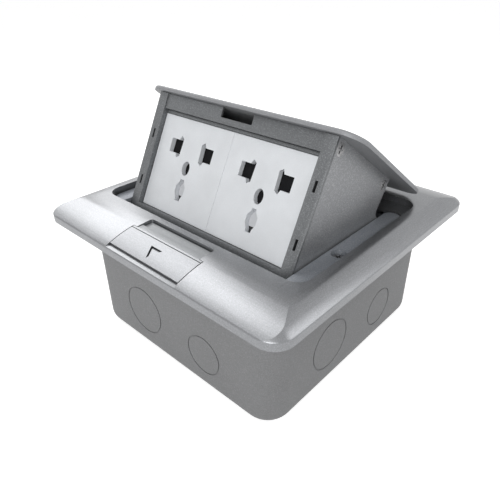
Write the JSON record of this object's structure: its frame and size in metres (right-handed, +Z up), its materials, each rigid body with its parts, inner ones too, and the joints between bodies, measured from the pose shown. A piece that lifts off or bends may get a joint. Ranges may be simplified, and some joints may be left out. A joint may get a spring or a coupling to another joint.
{
  "type": "floor socket box",
  "caption": "Pop-up floor socket box, shown open: brushed aluminium trim and lid, shuttered three-pin sockets, sliding release button and a pressed steel back box.",
  "frame": {"origin": "middle of the back box's underside", "axes": "+X to the right seen from the release button, -Y towards the release button, +Z up out of the floor"},
  "size_m": [0.145, 0.145, 0.1159],
  "materials": {
    "brushed_aluminium": "brushed",
    "grey_coating": "satin",
    "box_steel": "matt",
    "frame_coating": "satin",
    "bright_steel": "satin",
    "plain_steel": "satin",
    "spring_steel": "satin",
    "white_plastic": "semi-gloss",
    "grey_plastic": "matt",
    "shutter_plastic": "matt",
    "contact_brass": "satin",
    "gasket_rubber": "matt"
  },
  "bodies": {
    "base": {"back_box": "box_steel", "box_lugs": "box_steel", "mount_screws": "bright_steel", "earth_terminal": "contact_brass", "earth_screw": "bright_steel", "trim_frame": "brushed_aluminium", "floor_gasket": "gasket_rubber", "support_frame": "frame_coating", "trim_screws": "bright_steel", "hinge_bracket_left": "plain_steel", "hinge_bracket_right": "plain_steel", "bracket_screws": "bright_steel", "hinge_pin_left": "plain_steel", "hinge_pin_right": "plain_steel", "pin_clip_left": "spring_steel", "pin_clip_right": "spring_steel", "pivot_washer_left": "grey_plastic", "pivot_washer_right": "grey_plastic", "torsion_spring_left": "spring_steel", "torsion_spring_right": "spring_steel", "latch_guide": "frame_coating", "guide_screws": "bright_steel", "latch_springs": "spring_steel"},
    "pop_up": {"lid_plate": "brushed_aluminium", "side_plate_left": "grey_coating", "side_plate_right": "grey_coating", "side_screws": "bright_steel", "face_frame": "grey_coating", "socket_cover_left": "white_plastic", "socket_cover_right": "white_plastic", "socket_body_left": "grey_plastic", "socket_body_right": "grey_plastic", "live_contact_left": "contact_brass", "neutral_contact_left": "contact_brass", "earth_contact_left": "contact_brass", "live_contact_right": "contact_brass", "neutral_contact_right": "contact_brass", "earth_contact_right": "contact_brass", "terminal_screws": "bright_steel", "shutter_spring_left": "spring_steel", "shutter_spring_right": "spring_steel"},
    "release": {"release_button": "brushed_aluminium", "latch_slider": "grey_plastic", "button_screws": "bright_steel"},
    "shutter_left": {"shutter_left": "shutter_plastic"},
    "shutter_right": {"shutter_right": "shutter_plastic"}
  },
  "joints": [
    {"name": "pop_up_hinge", "type": "hinge", "parent": "base", "child": "pop_up", "pos_m": [0, 0.0462, 0.04308], "axis": [1, 0, 0], "range_deg": [0, 34.9], "stiffness_Nm_per_rad": 0.25, "springref_deg": -91.67, "deforming": ["torsion_spring_left", "torsion_spring_right"]},
    {"name": "release_slide", "type": "slide", "parent": "base", "child": "release", "axis": [0, -1, 0], "range_m": [0, 0.0025], "stiffness_N_per_m": 600, "springref_m": -0.004, "deforming": ["latch_springs"]},
    {"name": "shutter_left_slide", "type": "slide", "parent": "pop_up", "child": "shutter_left", "axis": [0, -0.4571, -0.8894], "range_m": [0, 0.004], "stiffness_N_per_m": 60, "springref_m": -0.004, "deforming": ["shutter_spring_left"]},
    {"name": "shutter_right_slide", "type": "slide", "parent": "pop_up", "child": "shutter_right", "axis": [0, -0.4571, -0.8894], "range_m": [0, 0.004], "stiffness_N_per_m": 60, "springref_m": -0.004, "deforming": ["shutter_spring_right"]}
  ]
}
